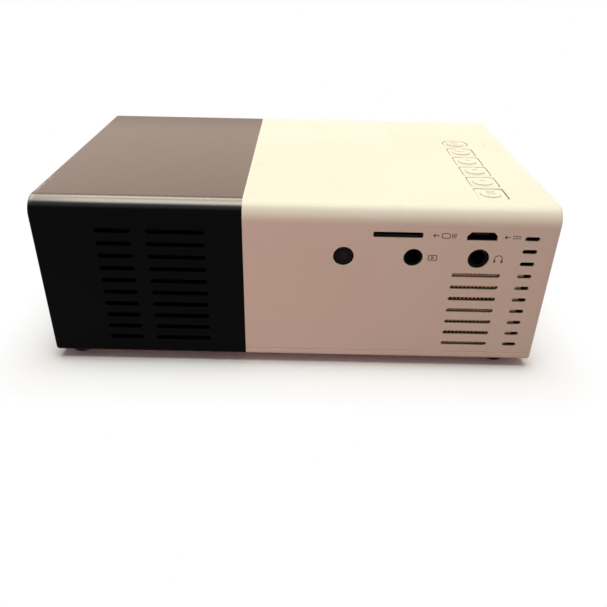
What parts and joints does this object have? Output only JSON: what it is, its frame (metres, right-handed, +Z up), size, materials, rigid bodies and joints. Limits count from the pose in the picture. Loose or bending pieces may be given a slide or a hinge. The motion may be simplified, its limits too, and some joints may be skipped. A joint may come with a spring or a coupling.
{
  "type": "pocket video projector",
  "caption": "Palm-size box projector with a black lens section, warm-white body, top keys, slotted vents, rear jacks and card slot, rubber feet and a focusing lens.",
  "frame": {"origin": "on the table under the middle of the case, at the feet's bottom", "axes": "+X towards the dark lens end, the lens looks along -Y, the socket face is at +Y, +Z up"},
  "size_m": [0.126, 0.086, 0.0446],
  "materials": {
    "pale_plastic": "fine satin moulded plastic, warm white",
    "dark_plastic": "fine satin moulded plastic, black",
    "engine_plastic": "matt black moulded plastic",
    "lens_plastic": "matt black turned plastic with a ribbed grip",
    "foot_rubber": "soft dark rubber",
    "screw_steel": "zinc-plated steel",
    "insert_brass": "turned brass",
    "board_green": "glass-fibre board with green solder mask",
    "chip_black": "black moulded component bodies",
    "socket_tin": "folded tinned steel",
    "socket_black": "glossy black moulded plastic",
    "window_dark": "deep red-black polished acrylic",
    "key_plastic": "satin moulded plastic, warm white",
    "lamp_clear": "clear light guide",
    "lens_glass": "coated optical glass",
    "plate_clear": "clear acrylic and glass plates",
    "panel_dark": "dark picture panel",
    "panel_frame": "dark panel frame",
    "mirror_silver": "front-silvered glass",
    "sink_aluminium": "bare extruded aluminium",
    "lamp_board": "white-masked aluminium board",
    "lamp_phosphor": "yellow phosphor dome",
    "fan_plastic": "black glass-filled plastic",
    "speaker_steel": "black-painted pressed steel",
    "speaker_cone": "pressed paper cone",
    "magnet_black": "ferrite magnet",
    "mesh_steel": "fine painted wire mesh",
    "ribbon_amber": "amber flexible ribbon",
    "wire_red": "red insulated wire"
  },
  "bodies": {
    "projector_case": {"av_jack": "socket_black", "board_parts": "chip_black", "bottom_cover": "pale_plastic", "case_screws": "screw_steel", "collimator_plate": "plate_clear", "condenser_lens": "lens_glass", "dark_shell": "dark_plastic", "data_socket": "socket_tin", "engine_case": "engine_plastic", "engine_lid": "engine_plastic", "fan_frame": "fan_plastic", "fan_screws": "screw_steel", "field_plate": "plate_clear", "headphone_jack": "socket_black", "heat_glass": "plate_clear", "heat_sink": "sink_aluminium", "key_switches": "socket_black", "lamp_board": "lamp_board", "lamp_emitter": "lamp_phosphor", "lens_mount": "engine_plastic", "light_funnel": "engine_plastic", "light_shell": "pale_plastic", "main_board": "board_green", "memory_card_socket": "socket_tin", "mirror": "mirror_silver", "panel_frame": "panel_frame", "panel_ribbon": "ribbon_amber", "picture_panel": "panel_dark", "power_socket": "socket_tin", "remote_receiver": "socket_black", "remote_window": "window_dark", "rubber_feet": "foot_rubber", "small_screws": "screw_steel", "speaker_cone": "speaker_cone", "speaker_frame": "speaker_steel", "speaker_magnet": "magnet_black", "status_light": "lamp_clear", "tripod_insert": "insert_brass", "vent_mesh": "mesh_steel", "video_socket": "socket_tin", "wires": "wire_red"},
    "menu_key": {"menu_key": "key_plastic", "menu_key_plunger": "socket_black"},
    "left_key": {"left_key": "key_plastic", "left_key_plunger": "socket_black"},
    "play_key": {"play_key": "key_plastic", "play_key_plunger": "socket_black"},
    "right_key": {"right_key": "key_plastic", "right_key_plunger": "socket_black"},
    "back_key": {"back_key": "key_plastic", "back_key_plunger": "socket_black"},
    "power_key": {"power_key": "key_plastic", "power_key_plunger": "socket_black"},
    "fan_rotor": {"fan_rotor": "fan_plastic"},
    "lens_group": {"front_lens": "lens_glass", "middle_lens": "lens_glass", "rear_lens": "lens_glass", "lens_rings": "lens_plastic"},
    "focus_barrel": {"focus_barrel": "lens_plastic", "guide_pins": "insert_brass"}
  },
  "joints": [
    {"name": "menu_key_press", "type": "slide", "parent": "projector_case", "child": "menu_key", "axis": [0, 0, -1], "range_m": [0, 0.0005], "stiffness_N_per_m": 2000},
    {"name": "left_key_press", "type": "slide", "parent": "projector_case", "child": "left_key", "axis": [0, 0, -1], "range_m": [0, 0.0005], "stiffness_N_per_m": 2000},
    {"name": "play_key_press", "type": "slide", "parent": "projector_case", "child": "play_key", "axis": [0, 0, -1], "range_m": [0, 0.0005], "stiffness_N_per_m": 2000},
    {"name": "right_key_press", "type": "slide", "parent": "projector_case", "child": "right_key", "axis": [0, 0, -1], "range_m": [0, 0.0005], "stiffness_N_per_m": 2000},
    {"name": "back_key_press", "type": "slide", "parent": "projector_case", "child": "back_key", "axis": [0, 0, -1], "range_m": [0, 0.0005], "stiffness_N_per_m": 2000},
    {"name": "power_key_press", "type": "slide", "parent": "projector_case", "child": "power_key", "axis": [0, 0, -1], "range_m": [0, 0.0005], "stiffness_N_per_m": 2000},
    {"name": "fan_spin", "type": "hinge", "parent": "projector_case", "child": "fan_rotor", "pos_m": [-0.055, 0.009, 0.0213], "axis": [1, 0, 0], "continuous": true},
    {"name": "focus_travel", "type": "slide", "parent": "projector_case", "child": "lens_group", "axis": [0, -1, 0], "range_m": [-0.0013, 0.0013]},
    {"name": "focus_turn", "type": "hinge", "parent": "lens_group", "child": "focus_barrel", "pos_m": [0.03775, -0.03, 0.0213], "axis": [0, -1, 0], "range_deg": [-30, 30]}
  ],
  "couplings": [
    {"joint": "focus_travel", "follows": "focus_turn", "m_per_rad": 0.0023873}
  ]
}
